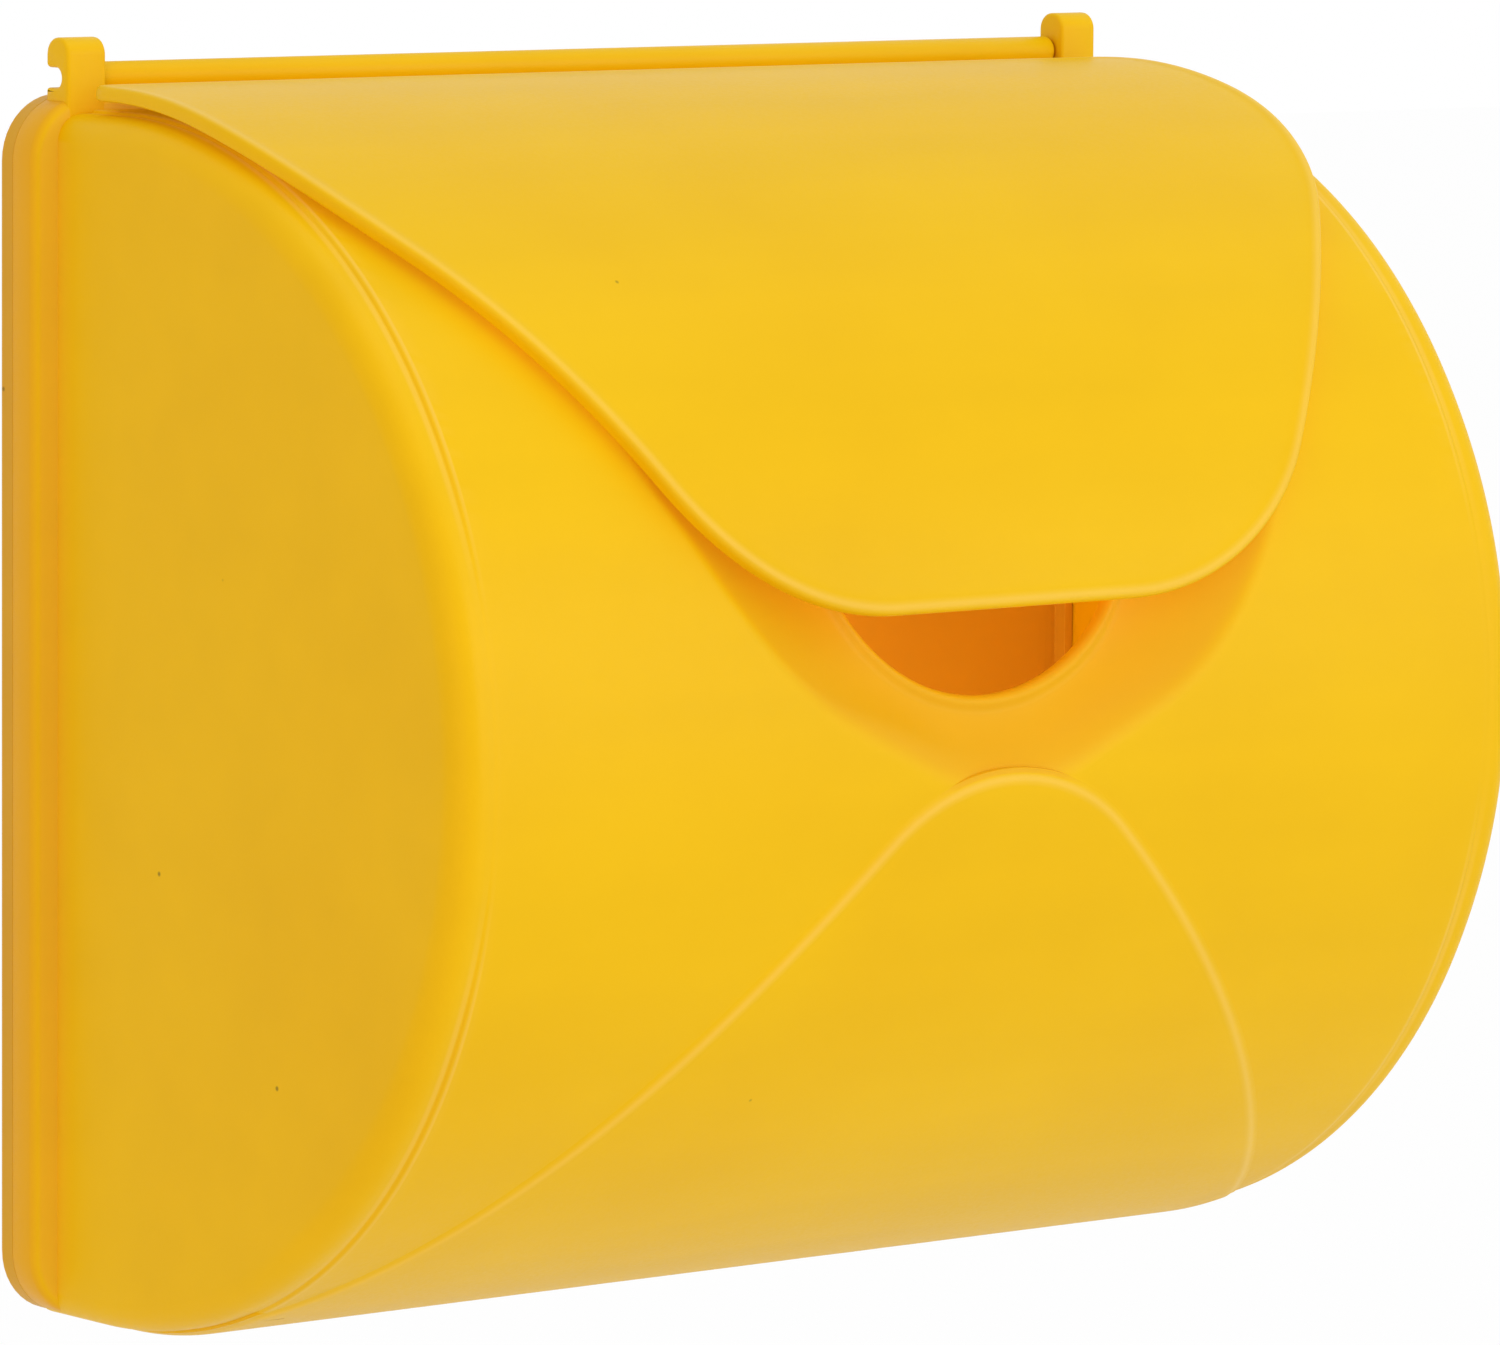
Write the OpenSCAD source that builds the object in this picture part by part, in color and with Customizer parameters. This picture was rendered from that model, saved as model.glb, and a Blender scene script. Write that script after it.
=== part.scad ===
// Wall-mounted play mailbox in the shape of an envelope.
// Millimetres. X is the width, the front faces -Y, Z is up.
// The back face lies on Y = 0, and Z = 0 is the axis of the curved front.
// An arc length is measured round the curved front from its foremost line, upwards.

/* [Body] */
// Width across the flat end faces
body_w = 252; // [230:1:300]
// Radius of the curved front
profile_r = 112; // [104:1:124]
// Distance of the curve's axis in front of the back face
profile_back = 21.2; // [18:0.2:40]
// Wall thickness of the mouldings
wall = 2.5; // [2:0.1:3]
// Fillet between the curved front and the end faces
end_fillet = 7.6; // [5:0.1:10]
// Height of the crease where the front band stands above the end fillet
band_step = 0.6; // [0.3:0.1:1]

/* [Flange and back panel] */
// Ledge of the flange beyond the end faces
flange_side = 5.2; // [3:0.1:12]
// Height of the flange's upper edge above the curved front
flange_above = 2.6; // [2:0.1:4]
// Distance of the flange's lower edge inside the curved front
flange_below = 0.7; // [0:0.1:1.5]
// Corner radius of the flange and the panel
corner_r = 12; // [8:0.5:16]
// Thickness of the shell's flange
flange_t = 7; // [6.6:0.1:9]
// Thickness of the back panel
panel_t = 3.5; // [3:0.1:5]
// Height of the panel's locating rib and pads inside the shell
rib_h = 3; // [2:0.1:4]
// Thickness of the locating rib
rib_t = 2; // [1.5:0.1:3]
// Clearance between the locating rib and the shell
rib_clearance = 0.3; // [0.2:0.05:0.6]

/* [Envelope flap] */
// Height of the lower flap above the front band
flap_step = 0.7; // [0.3:0.1:1]
// Arc length from the foremost line down to the flap's tip
flap_tip_drop = 6.4; // [4:0.2:14]
// Radius of the flap's round tip
flap_tip_r = 41; // [30:0.5:46]
// Angle between the flap's edges and the upright, beside the tip
flap_edge_angle = 46.5; // [42:0.5:50]
// Radius of the flap's gently bowed edges
flap_edge_r = 470; // [400:5:900]

/* [Mail opening] */
// Radius of the dished recess under the lid
dish_r = 75; // [70:0.5:80]
// Angle of the recess's centre above the horizontal
dish_angle = 33.5; // [32:0.5:36]
// Depth of the recess's floor
dish_depth = 7; // [5:0.2:8]
// Slope of the recess's side
dish_slope = 18; // [14:0.5:26]
// Radius of the mail hole's lower end
mouth_r = 36; // [30:0.5:38]
// Arc length from the foremost line up to the mail hole's lowest point
mouth_bottom = 8; // [6:0.2:14]
// Arc length from the foremost line up to the mail hole's top edge
mouth_top = 102; // [92:1:106]
// Width of the mail hole at its top
mouth_top_w = 114; // [100:1:120]
// Arc length of the mail hole's upright sides below its top edge
mouth_side = 30; // [26:1:36]
// Radius of the mail hole's top corners
mouth_corner_r = 15; // [10:0.5:20]

/* [Lid] */
// Gap between the lid and the curved front
lid_gap = 2; // [1.6:0.1:3]
// Thickness of the lid
lid_t = 2.6; // [2.2:0.1:3.2]
// Distance of the lid's sides inside the end faces
lid_side = 2.5; // [1.5:0.1:5]
// Arc length from the foremost line up to the lid's lower edge
lid_tip_rise = 23.8; // [20:0.2:30]
// Width of the lid's lower edge between its uncut corners
lid_tip_w = 118; // [106:1:130]
// Radius of the lid's lower corners
lid_tip_r = 57; // [40:1:60]
// Arc length of the lid's sides from its rear edge to where they turn to slant
lid_side_l = 60; // [52:0.2:66]
// Radius where the slanted sides become upright
lid_side_r = 86; // [60:1:100]
// Radius of the lid's rear corners
lid_rear_r = 6; // [5:0.5:8]
// Width of the raised border round the lid
border_w = 3.4; // [2.6:0.1:4.4]
// Height of the raised border
border_h = 0.6; // [0.3:0.1:0.9]

/* [Hinge] */
// Distance of a hook's outer face inside the flange's side
hook_inset = 7.4; // [6:0.1:14]
// Width of a hook
hook_w = 8.6; // [7:0.1:10]
// Height of a hook above the flange
hook_rise = 10.6; // [10:0.1:13]
// Radius of a hook's top edges
hook_r = 3.2; // [2:0.1:3.3]
// Depth of the notch that is open to the back
notch_depth = 4.6; // [4.2:0.1:5]
// Height of the hinge axis above the flange's upper edge
hinge_rise = 3.2; // [3.1:0.05:3.6]
// Diameter of the lid's pins
pin_d = 3.6; // [3:0.1:4]
// Radial running clearance of a pin in its notch
pin_clearance = 0.05; // [0.03:0.01:0.1]
// Length of a pin inside its hook
pin_reach = 5; // [4:0.1:6]
// Diameter of the barrel along the lid's rear edge
barrel_d = 5.6; // [5:0.1:5.8]
// Sideways clearance between the barrel and a hook
barrel_clearance = 0.6; // [0.4:0.1:1]
// Clearance of the lid's shoulders as they swing past the hooks
swing_clearance = 1.1; // [0.6:0.1:2]

/* [Wall fixing] */
// Diameter of the wall-screw holes
fixing_d = 5; // [4:0.1:6]
// Distance between the wall-screw holes, across
fixing_w = 56; // [40:1:60]
// Distance between the wall-screw holes, upwards
fixing_h = 50; // [36:1:56]
// Height of the wall-screw holes' centre above the axis of the front
fixing_rise = 57; // [50:1:60]
// Diameter of the pad round a wall-screw hole
fixing_pad_d = 14; // [12:0.5:18]

/* [Panel screws] */
// Diameter of the shanks
screw_d = 3; // [2.5:0.1:4]
// Length under the head
screw_l = 16; // [12:0.5:20]
// Length of the pointed end
screw_tip_l = 3; // [2:0.1:5]
// Diameter of the blunt point
screw_tip_d = 0.6; // [0.3:0.1:1]
// Diameter of the heads
screw_head_d = 6.4; // [5.6:0.1:8]
// Height of the heads
screw_head_h = 2.2; // [1.8:0.1:2.6]
// Depth of a head below the back face
screw_sink = 0.3; // [0.2:0.05:0.6]
// Radial clearance round a shank and a head
screw_clearance = 0.05; // [0.03:0.01:0.1]
// Length of the cross recess in a head
recess_l = 3.8; // [3:0.1:4.6]
// Width of the cross recess
recess_w = 1; // [0.8:0.1:1.2]
// Depth of the cross recess
recess_depth = 1.2; // [0.8:0.1:1.5]
// Diameter of the shell's screw bosses
boss_d = 9; // [8:0.1:11]
// Length of a boss beyond its bore
boss_end = 3; // [2:0.5:6]
// Distance from a boss's centre to the wall that it stands against
boss_inset = 9.5; // [8:0.1:11]
// Height of the side bosses above and below the axis of the front
boss_rise = 70; // [60:1:80]
// Diameter of the pad under a screw boss
boss_pad_d = 11; // [10:0.1:14]

/* [Hidden] */

round_fn = 96;
arc_step = 6;
eps = 0.01;
cut = 1;
over = 20;

flange_back = panel_t;
flange_front = panel_t + flange_t;
flange_w = body_w + 2 * flange_side;
flange_top = profile_r + flange_above;
flange_bottom = flange_below - profile_r;
inner_w = body_w - 2 * wall;
inner_r = profile_r - wall;
inner_fillet = end_fillet - wall;
band_w = body_w - 2 * end_fillet;
quarter_arc = profile_r * PI / 2;

flap_centre = flap_tip_drop + flap_tip_r;
flap_r = profile_r + flap_step;
flap_tilt = 45;
flap_bow_steps = 6;

dish_centre = profile_r * dish_angle * PI / 180;
dish_sectors = 36;
dish_steps = 4;
dish_margin = 8;
dish_floor_r = dish_r - dish_depth / tan(dish_slope);
dish_end_r = dish_r + dish_margin;
dish_rings = concat([for (k = [1:dish_steps]) dish_floor_r * k / dish_steps],
                    [(dish_floor_r + dish_end_r) / 2, dish_end_r]);

lid_w = body_w - 2 * lid_side;
lid_r = profile_r + lid_gap;
lid_top = lid_r + lid_t;
lid_mid_r = lid_r + lid_t / 2;
lid_tilt = 50;

hook_gap = flange_w - 2 * (hook_inset + hook_w);
hook_top = flange_top + hook_rise;
hinge_z = flange_top + hinge_rise;
notch_r = pin_d / 2 + pin_clearance;
hinge_y = -(flange_back + notch_depth - notch_r);
pin_end = hook_gap / 2 + pin_reach;
barrel_l = hook_gap - 2 * barrel_clearance;
hook_reach = norm([hook_top - hook_r - hinge_z, hook_r - flange_front - hinge_y]) + hook_r;
shoulder_y = hinge_y - hook_reach - swing_clearance;
tab_bottom = hinge_z - barrel_d / 2;
lid_rear = quarter_arc + profile_back + shoulder_y;
lid_side_angle = atan2((lid_w - lid_tip_w) / 2, lid_rear - lid_side_l - lid_tip_rise);

pad_face = panel_t + rib_h;
screw_seat = screw_sink + screw_head_h;
screw_end = screw_seat + screw_l;
boss_bore_r = screw_d / 2 + screw_clearance;
boss_bore_end = screw_end + screw_tip_l;
boss_front = boss_bore_end + boss_end;
side_boss_x = inner_w / 2 - boss_inset;
top_boss_z = inner_r - boss_inset;

// Places of the panel screws, each with the direction of the wall that its boss stands against
screw_places = concat(
    [for (sx = [-1, 1], sz = [-1, 1]) [sx * side_boss_x, sz * boss_rise, 90 - sx * 90]],
    [for (sz = [-1, 1]) [0, sz * top_boss_z, sz * 90]]);
fixing_places = [for (sx = [-1, 1], sz = [-1, 1])
    [sx * fixing_w / 2, fixing_rise + sz * fixing_h / 2]];

yellow = "#f5c518";
deep_yellow = "#e8ad1e";
zinc = "#b9bcc0";

// Direction from point a to point b, of length one
function heading(a, b) = (b - a) / norm(b - a);

// Arc that rounds the corner b of the path a, b, c with radius r
function rounded_corner(a, b, c, r) =
    let (u = heading(b, a), v = heading(b, c))
    let (half = acos(u * v) / 2)
    let (centre = b + heading([0, 0], u + v) * r / sin(half))
    let (turn = sign(u[0] * v[1] - u[1] * v[0]), sweep = 180 - 2 * half)
    let (steps = max(2, ceil(sweep / arc_step)))
    let (start = b + u * r / tan(half) - centre)
    let (from = atan2(start[1], start[0]))
    [for (k = [0:steps])
        let (t = from - turn * sweep * k / steps)
        centre + r * [cos(t), sin(t)]];

// Closed outline through corners [x, y, radius]
function rounded_outline(corners) =
    let (n = len(corners))
    [for (k = [0:n - 1])
        let (a = corners[(k + n - 1) % n], b = corners[k], c = corners[(k + 1) % n])
        each b[2] > 0
            ? rounded_corner([a[0], a[1]], [b[0], b[1]], [c[0], c[1]], b[2])
            : [[b[0], b[1]]]];

// Corners of the right half followed by their mirror images
function mirrored(corners) = concat(corners,
    [for (k = [len(corners) - 1:-1:0]) [-corners[k][0], corners[k][1], corners[k][2]]]);

// Angle above the horizontal of a place at an arc length
function turn_at(arc) = arc / profile_r * 180 / PI;

// Height, on a plane tilted by the angle, of a place at an arc length on radius r
function on_tilted(arc, r, tilt) =
    turn_at(arc) < 90
        ? r * sin(turn_at(arc) - tilt)
        : r * cos(tilt) + (arc - quarter_arc) * sin(tilt);

// Point at a sideways distance and an arc length, on radius r
function on_front(x, arc, r) =
    [x, -profile_back - r * cos(turn_at(arc)), r * sin(turn_at(arc))];

// Depth of the recess at a distance from its centre, negative outside it
function dish_at(distance) = min(dish_depth, (dish_r - distance) * tan(dish_slope));

// Corners of the lid's outline in arc lengths, drawn in by a distance
function lid_corners(inset) =
    let (half_w = lid_w / 2 - inset, slant = tan(lid_side_angle))
    let (shift = inset / cos(lid_side_angle))
    let (tip_half = lid_tip_w / 2 - shift + inset * slant)
    let (side = lid_tip_rise + (half_w - lid_tip_w / 2 + shift) / slant)
    mirrored([[tip_half, lid_tip_rise + inset, lid_tip_r - inset],
              [half_w, side, lid_side_r - inset],
              [half_w, lid_rear - inset, lid_rear_r - inset]]);

// Section of the body, radius by half width, with filleted ends
module end_section(r, half_w, fillet) {
    translate([0, fillet - half_w]) square([r, 2 * (half_w - fillet)]);
    if (fillet > 0) {
        translate([0, -half_w]) square([r - fillet, 2 * half_w]);
        for (s = [-1, 1])
            translate([r - fillet, s * (half_w - fillet)]) circle(r = fillet, $fn = round_fn);
    }
}

// Solid with a half-round front, from the plane Y = -back forwards
module d_solid(r, half_w, fillet, back) {
    translate([0, -profile_back, 0])
        rotate([0, 90, 0]) rotate([0, 0, 180])
            rotate_extrude(angle = 180, $fn = round_fn) end_section(r, half_w, fillet);
    translate([0, -back, 0]) rotate([90, 0, 0])
        linear_extrude(profile_back - back + eps)
            for (s = [90, 270]) rotate(s) end_section(r, half_w, fillet);
}

// Prism that cuts an outline of arc lengths out of a layer round the front
module wrapped_prism(outline, r, tilt) {
    translate([0, -profile_back, 0]) rotate([90 - tilt, 0, 0])
        linear_extrude(2 * profile_r)
            polygon([for (p = outline) [p[0], on_tilted(p[1], r, tilt)]]);
}

module rounded_rectangle(w, h, r) {
    square([w - 2 * r, h], center = true);
    square([w, h - 2 * r], center = true);
    for (sx = [-1, 1], sz = [-1, 1])
        translate([sx * (w / 2 - r), sz * (h / 2 - r)]) circle(r = r, $fn = round_fn);
}

// Rounded plate of the flange's outline, between two distances from the back face
module flange_plate(from, to) {
    translate([0, -from, (flange_top + flange_bottom) / 2]) rotate([90, 0, 0])
        linear_extrude(to - from)
            rounded_rectangle(flange_w, flange_top - flange_bottom, corner_r);
}

// Cylinder along Y, between two distances from the back face
module rod_y(place, r, from, to) {
    translate([place[0], -from, place[1]]) rotate([90, 0, 0])
        cylinder(r = r, h = to - from, $fn = round_fn);
}

// Cylinder along X on the hinge axis
module rod_x(r, from, to) {
    translate([from, hinge_y, hinge_z]) rotate([0, 90, 0])
        cylinder(r = r, h = to - from, $fn = round_fn);
}

// Space in front of the recess, with its floor moved inwards by a thickness
module dish_space(inwards) {
    n = dish_sectors;
    rows = len(dish_rings);
    count = rows * n;
    last = count - n;
    top = profile_r + over;
    next = function (k) (k + 1) % n;
    ring = function (d, r) [for (k = [0:n - 1])
        on_front(d * sin(360 * k / n), dish_centre + d * cos(360 * k / n), r)];
    floors = [for (d = dish_rings) each ring(d, profile_r - inwards - dish_at(d))];
    tops = [for (d = dish_rings) each ring(d, top)];
    middles = [on_front(0, dish_centre, profile_r - inwards - dish_depth),
               on_front(0, dish_centre, top)];
    sheet = function (base, middle) concat(
        [for (k = [0:n - 1]) [middle, base + k, base + next(k)]],
        [for (j = [0:rows - 2], k = [0:n - 1])
            let (a = base + j * n, b = a + n)
            each [[a + k, b + k, b + next(k)], [a + k, b + next(k), a + next(k)]]]);
    rim = [for (k = [0:n - 1]) each [
        [last + k, count + last + next(k), count + last + k],
        [last + k, last + next(k), count + last + next(k)]]];
    polyhedron(concat(floors, tops, middles), concat(
        [for (f = sheet(0, 2 * count)) [f[0], f[2], f[1]]],
        sheet(count, 2 * count + 1),
        rim));
}

// Prism of the mail hole, round below and wider above
module mouth_prism() {
    outline = rounded_outline(mirrored([
        [mouth_r, mouth_bottom, mouth_r - eps],
        [mouth_r, mouth_bottom + mouth_r, 0],
        [mouth_top_w / 2, mouth_top - mouth_side, 0],
        [mouth_top_w / 2, mouth_top, mouth_corner_r]]));
    wrapped_prism(outline, profile_r - dish_depth, dish_angle);
}

// Lower flap, a thin layer that narrows upwards to a round tip
module flap() {
    half_w = band_w / 2 + cut;
    bottom = quarter_arc + profile_back;
    bow_start = 90 - flap_edge_angle;
    bow_centre = [0, flap_centre] - (flap_edge_r - flap_tip_r) * [sin(bow_start), -cos(bow_start)];
    bow_end = min(asin((half_w - bow_centre[0]) / flap_edge_r), acos((bow_centre[1] - bottom + cut) / flap_edge_r));
    edge = concat(
        [for (t = [0:arc_step:bow_start - 1])
            flap_tip_r * [sin(t), -cos(t)] + [0, flap_centre]],
        [for (k = [0:flap_bow_steps])
            let (t = bow_start + (bow_end - bow_start) * k / flap_bow_steps)
            flap_edge_r * [sin(t), -cos(t)] + bow_centre],
        [[flap_edge_r * sin(bow_end) + bow_centre[0], bottom]]);
    outline = concat(edge, [for (k = [len(edge) - 1:-1:1]) [-edge[k][0], edge[k][1]]]);
    mirror([0, 0, 1]) intersection() {
        difference() {
            d_solid(flap_r, band_w / 2, 0, flange_front - eps);
            d_solid(profile_r - wall / 2, half_w, 0, flange_front - cut);
        }
        wrapped_prism(outline, profile_r, flap_tilt);
    }
}

// Right-hand hook, open to the back
module hook() {
    difference() {
        translate([hook_gap / 2, 0, 0]) rotate([90, 0, 90]) linear_extrude(hook_w) {
            translate([-flange_front, flange_top - wall])
                square([flange_t, hook_rise + wall - hook_r]);
            translate([hook_r - flange_front, hook_top - hook_r - eps])
                square([flange_t - 2 * hook_r, hook_r + eps]);
            for (y = [hook_r - flange_front, -hook_r - flange_back])
                translate([y, hook_top - hook_r]) circle(r = hook_r, $fn = round_fn);
        }
        rod_x(notch_r, hook_gap / 2 - cut, hook_gap / 2 + hook_w + cut);
        translate([hook_gap / 2 - cut, hinge_y, hinge_z - notch_r])
            cube([hook_w + 2 * cut, over, 2 * notch_r]);
    }
}

// Screw boss with the web that joins it to its wall
module boss(place) {
    rod_y(place, boss_d / 2, pad_face, boss_front);
    translate([place[0], -pad_face, place[1]]) rotate([90, 0, 0])
        linear_extrude(boss_front - pad_face) rotate(place[2])
            translate([0, -wall / 2]) square([boss_inset + wall / 2, wall]);
}

module front_shell() color(yellow) difference() {
    union() {
        difference() {
            union() {
                d_solid(profile_r - band_step, body_w / 2, end_fillet, flange_back + eps);
                d_solid(profile_r, band_w / 2, 0, flange_front - eps);
                flange_plate(flange_back, flange_front);
            }
            dish_space(0);
            difference() {
                d_solid(inner_r, inner_w / 2, inner_fillet, flange_back - eps);
                dish_space(wall);
            }
            mouth_prism();
        }
        flap();
        for (place = screw_places) boss(place);
        hook();
        mirror([1, 0, 0]) hook();
    }
    for (place = screw_places) rod_y(place, boss_bore_r, pad_face - eps, boss_bore_end);
}

module back_panel() color(deep_yellow) difference() {
    union() {
        flange_plate(0, panel_t);
        translate([0, eps - panel_t, 0]) rotate([90, 0, 0]) linear_extrude(rib_h + eps)
            difference() {
                rounded_rectangle(inner_w - 2 * rib_clearance, 2 * (inner_r - rib_clearance),
                    inner_fillet - rib_clearance);
                square([inner_w - 2 * (rib_clearance + rib_t),
                    2 * (inner_r - rib_clearance - rib_t)], center = true);
            }
        for (place = screw_places) rod_y(place, boss_pad_d / 2, panel_t - eps, pad_face);
        for (place = fixing_places) rod_y(place, fixing_pad_d / 2, panel_t - eps, pad_face);
    }
    for (place = fixing_places) rod_y(place, fixing_d / 2, -cut, pad_face + cut);
    for (place = screw_places) {
        rod_y(place, boss_bore_r, -cut, pad_face + cut);
        rod_y(place, screw_head_d / 2 + screw_clearance, -cut, screw_seat);
    }
}

module lid() color(yellow) {
    intersection() {
        difference() {
            d_solid(lid_top + border_h, lid_w / 2, 0, -shoulder_y);
            d_solid(lid_r, lid_w / 2 + cut, 0, -shoulder_y - cut);
            intersection() {
                difference() {
                    d_solid(lid_top + over, lid_w / 2, 0, -shoulder_y - cut);
                    d_solid(lid_top, lid_w / 2 + cut, 0, -shoulder_y - 2 * cut);
                }
                wrapped_prism(rounded_outline(lid_corners(border_w)), lid_mid_r, lid_tilt);
            }
        }
        wrapped_prism(rounded_outline(lid_corners(0)), lid_mid_r, lid_tilt);
    }
    translate([-barrel_l / 2, shoulder_y - wall, tab_bottom])
        cube([barrel_l, hinge_y - shoulder_y + wall, lid_top - tab_bottom]);
    rod_x(barrel_d / 2, -barrel_l / 2, barrel_l / 2);
    rod_x(pin_d / 2, -pin_end, pin_end);
}

module panel_screws() color(zinc) for (place = screw_places) {
    difference() {
        rod_y(place, screw_head_d / 2, screw_sink, screw_seat);
        translate([place[0], -screw_sink, place[1]])
            for (turn = [0, 90]) rotate([0, turn, 0])
                cube([recess_l, 2 * recess_depth, recess_w], center = true);
    }
    rod_y(place, screw_d / 2, screw_seat - eps, screw_end - screw_tip_l);
    translate([place[0], screw_tip_l + eps - screw_end, place[1]]) rotate([90, 0, 0])
        cylinder(r1 = screw_d / 2, r2 = screw_tip_d / 2, h = screw_tip_l + eps, $fn = round_fn);
}

front_shell();
back_panel();
lid();
panel_screws();
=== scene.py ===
import math
import bmesh
import bpy
import numpy as np
from mathutils import Matrix


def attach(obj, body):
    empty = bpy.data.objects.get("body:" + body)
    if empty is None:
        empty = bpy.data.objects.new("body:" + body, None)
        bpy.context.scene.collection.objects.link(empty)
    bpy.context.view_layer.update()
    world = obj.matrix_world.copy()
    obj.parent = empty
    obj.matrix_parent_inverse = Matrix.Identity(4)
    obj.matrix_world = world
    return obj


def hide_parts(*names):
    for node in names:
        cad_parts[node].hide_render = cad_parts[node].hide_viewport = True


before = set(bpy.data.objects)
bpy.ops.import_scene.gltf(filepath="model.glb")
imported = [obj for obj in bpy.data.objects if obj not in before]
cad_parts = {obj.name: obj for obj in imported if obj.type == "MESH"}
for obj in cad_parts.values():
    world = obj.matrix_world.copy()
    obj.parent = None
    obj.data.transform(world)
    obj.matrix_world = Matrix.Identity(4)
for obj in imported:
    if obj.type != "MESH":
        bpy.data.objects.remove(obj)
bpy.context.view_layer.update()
print("loaded the packed mailbox:", ", ".join(sorted(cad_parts)))

# Sizes in millimetres. X runs across, the front faces -Y, Z is up, and the curved front turns about Z = 0.
form = {
    "radius": 112.0,      # of the curved front
    "axisY": -21.2,       # where the curve's axis lies
    "halfWidth": 126.0,   # to the flat end faces
    "endRound": 5.2,      # rounded edge of the end faces
    "step": 0.6,          # the band across the front stands this much above the strip beside it
    "wall": 2.5,
    "rearY": -3.7,        # where the walls end
}
meshing = {
    "weld": 2e-6,         # metres; nearer points become one
    "sliver": 1e-7,       # metres; shorter edges are dissolved
    "sharpAngle": 38,     # degrees; steeper edges are shaded as sharp
}
quarterTurn, fullTurn = math.pi / 2, 2 * math.pi
quarterArc = form["radius"] * quarterTurn
tiny = 1e-6               # mm; less counts as nothing


def wrap(x, arc, r):
    # rolls a flat sheet round the front: the turn is arc / radius, and past a quarter turn the sheet
    # runs straight back
    x, arc, r = np.broadcast_arrays(np.asarray(x, float), np.asarray(arc, float), np.asarray(r, float))
    turn = np.clip(arc / form["radius"], -quarterTurn, quarterTurn)
    y = form["axisY"] - r * np.cos(turn) + np.maximum(np.abs(arc) - quarterArc, 0)
    return np.stack([x, y, r * np.sin(turn)], -1)


def arcAtY(y):
    # arc on the straight run behind the curve: a quarter turn plus the way past the axis
    return quarterArc + y - form["axisY"]


def span(start, end, step):
    # even run of numbers, about one step apart
    return np.linspace(start, end, max(2, round(abs(end - start) / step) + 1))


def chain(*parts):
    # joins runs of numbers end to end and drops the doubled joints
    run = np.concatenate(parts)
    return run[np.concatenate([[True], np.abs(np.diff(run)) > tiny])]


def bothSides(run, sign=1):
    # mirrors a run of numbers that starts at the middle
    return np.concatenate([sign * run[:0:-1], run])


def ease(t):
    # smooth step, flat at 0 and at 1: three t squared less two t cubed
    t = np.clip(t, 0, 1)
    return t * t * (3 - 2 * t)


def closed(loop):
    # repeats the first point at the end
    return np.concatenate([loop, loop[:1]])


def roundedPath(corners, arcStep=4.0):
    # closed path through corners (x, y, radius): each corner becomes an arc tangent to both its sides,
    # with a point about every arcStep degrees
    points = np.array([c[:2] for c in corners], float)
    out = []
    for k, corner in enumerate(corners):
        here, before, after, radius = points[k], points[k - 1], points[(k + 1) % len(points)], corner[2]
        if radius <= 0:
            out.append(here[None])
            continue
        u, v = [(end - here) / np.linalg.norm(end - here) for end in (before, after)]
        half = math.acos(float(np.clip(u @ v, -1, 1))) / 2
        reach = radius / math.tan(half)
        centre = here + (u + v) / np.linalg.norm(u + v) * radius / math.sin(half)
        p, q = here + u * reach - centre, here + v * reach - centre
        sweep = math.atan2(p[0] * q[1] - p[1] * q[0], p @ q)
        count = max(4, round(math.degrees(abs(sweep)) / arcStep))
        turn = math.atan2(p[1], p[0]) + np.linspace(0, sweep, count)
        out.append(centre + radius * np.stack([np.cos(turn), np.sin(turn)], -1))
    return np.concatenate(out)


def resample(path, count):
    # spreads count points evenly along a path
    along = np.concatenate([[0], np.cumsum(np.linalg.norm(np.diff(path, axis=0), axis=1))])
    at = np.linspace(0, along[-1], count)
    return np.stack([np.interp(at, along, path[:, k]) for k in range(path.shape[1])], -1)


def fourSides(path, marks, counts):
    # cuts a closed path at the points nearest to four marks, and spreads points along each side
    cuts = [int(np.argmin(np.linalg.norm(path - np.array(m), axis=1))) for m in marks]
    ring = closed(np.roll(path, -cuts[0], axis=0))
    cuts = [(c - cuts[0]) % len(path) for c in cuts] + [len(path)]
    return np.concatenate([resample(ring[cuts[k]:cuts[k + 1] + 1], counts[k])[:-1] for k in range(4)])


def inset(loop, distance):
    # moves a counterclockwise loop inwards along the normal of each point
    along = np.roll(loop, -1, axis=0) - np.roll(loop, 1, axis=0)
    inward = np.stack([-along[:, 1], along[:, 0]], -1)
    inward /= np.linalg.norm(inward, axis=1, keepdims=True)
    return loop + inward * distance


def fillSheet(loop, counts):
    # Coons patch: the sum of the two ruled sheets between facing sides, less the flat sheet
    # through the corners
    ends = np.cumsum([0] + [c - 1 for c in counts])
    ring = closed(loop)
    low, right, top, left = [ring[ends[k]:ends[k + 1] + 1] for k in range(4)]
    top, left = top[::-1], left[::-1]
    a = np.linspace(0, 1, counts[0])[None, :, None]
    b = np.linspace(0, 1, counts[1])[:, None, None]
    ruled = (1 - b) * low + b * top + (1 - a) * left[:, None] + a * right[:, None]
    flat = (1 - a) * (1 - b) * low[0] + a * (1 - b) * low[-1] + (1 - a) * b * top[0] + a * b * top[-1]
    return ruled - flat


def turned(profile, count):
    # turns a profile (r, along) about its axis by t: r cos t and r sin t across, and the place along it
    t = np.linspace(0, fullTurn, count)
    r, along = np.array(profile, float).T[..., None]
    return r * np.cos(t), np.broadcast_to(along, (len(along), count)), r * np.sin(t)


def surface(grid, paintedLight=0.0, keep=None):
    # a grid of points, the painted light of each (-1 for painted shade, 1 for a painted highlight) and its
    # kept quads
    rows, cols = grid.shape[:2]
    if keep is None:
        keep = np.ones((rows - 1, cols - 1), bool)
    return grid, np.broadcast_to(paintedLight, (rows, cols)), keep


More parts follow.
